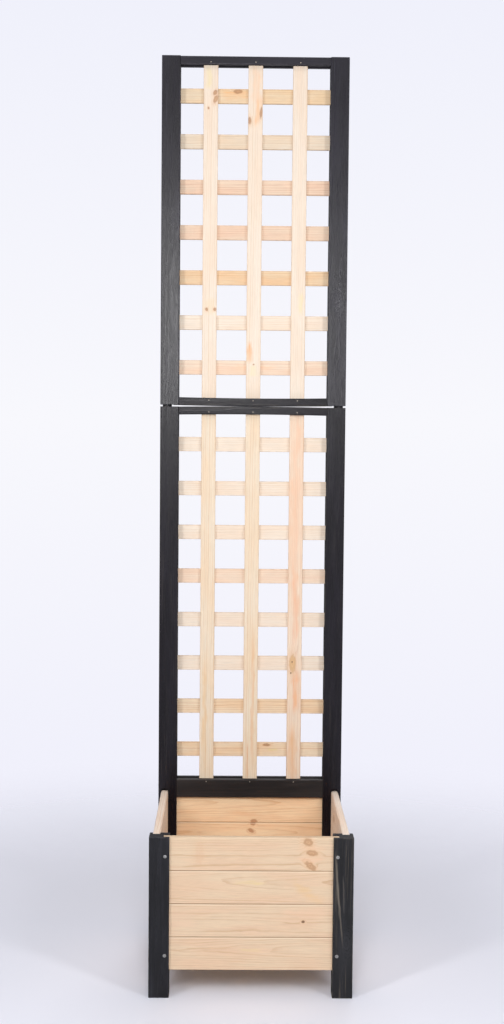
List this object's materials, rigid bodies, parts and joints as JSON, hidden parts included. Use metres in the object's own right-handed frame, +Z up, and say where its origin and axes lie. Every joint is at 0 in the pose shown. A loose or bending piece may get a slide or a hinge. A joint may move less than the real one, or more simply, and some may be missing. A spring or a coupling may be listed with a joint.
{
  "type": "planter with trellis",
  "caption": "Square timber planter box on legs, with tongued board walls in black grooved posts, and a tall lath trellis rising from its back for climbing plants.",
  "frame": {"origin": "on the ground, under the middle of the planter's footprint", "axes": "+Z up, the planter's front towards -Y, +X to the right seen from the front"},
  "size_m": [0.4, 0.4, 1.904],
  "materials": {
    "black_stain": "black semi-opaque stain, satin",
    "pine_boards": "planed natural pine",
    "pine_laths": "planed pale pine",
    "floor_wood": "sawn natural pine",
    "zinc": "bright zinc"
  },
  "bodies": {
    "planter": {"back_board_1": "pine_boards", "back_board_2": "pine_boards", "back_board_3": "pine_boards", "back_board_4": "pine_boards", "base_rail": "black_stain", "dowel_left": "black_stain", "dowel_right": "black_stain", "floor_cleat_left": "floor_wood", "floor_cleat_right": "floor_wood", "floor_screws": "zinc", "floor_slat_1": "floor_wood", "floor_slat_2": "floor_wood", "floor_slat_3": "floor_wood", "floor_slat_4": "floor_wood", "front_board_1": "pine_boards", "front_board_2": "pine_boards", "front_board_3": "pine_boards", "front_board_4": "pine_boards", "front_post_left": "black_stain", "front_post_right": "black_stain", "left_board_1": "pine_boards", "left_board_2": "pine_boards", "left_board_3": "pine_boards", "left_board_4": "pine_boards", "lower_brads": "zinc", "lower_cross_lath_1": "pine_laths", "lower_cross_lath_2": "pine_laths", "lower_cross_lath_3": "pine_laths", "lower_cross_lath_4": "pine_laths", "lower_cross_lath_5": "pine_laths", "lower_cross_lath_6": "pine_laths", "lower_cross_lath_7": "pine_laths", "lower_cross_lath_8": "pine_laths", "lower_stile_left": "black_stain", "lower_stile_right": "black_stain", "lower_top_rail": "black_stain", "lower_upright_lath_1": "pine_laths", "lower_upright_lath_2": "pine_laths", "lower_upright_lath_3": "pine_laths", "right_board_1": "pine_boards", "right_board_2": "pine_boards", "right_board_3": "pine_boards", "right_board_4": "pine_boards", "wall_screws": "zinc"},
    "upper_trellis": {"upper_bottom_rail": "black_stain", "upper_brads": "zinc", "upper_cross_lath_1": "pine_laths", "upper_cross_lath_2": "pine_laths", "upper_cross_lath_3": "pine_laths", "upper_cross_lath_4": "pine_laths", "upper_cross_lath_5": "pine_laths", "upper_cross_lath_6": "pine_laths", "upper_cross_lath_7": "pine_laths", "upper_stile_left": "black_stain", "upper_stile_right": "black_stain", "upper_top_rail": "black_stain", "upper_upright_lath_1": "pine_laths", "upper_upright_lath_2": "pine_laths", "upper_upright_lath_3": "pine_laths"}
  },
  "joints": [
    {"name": "upper_trellis_lift", "type": "slide", "parent": "planter", "child": "upper_trellis", "axis": [0, 0, 1], "range_m": [0, 0.045]}
  ]
}
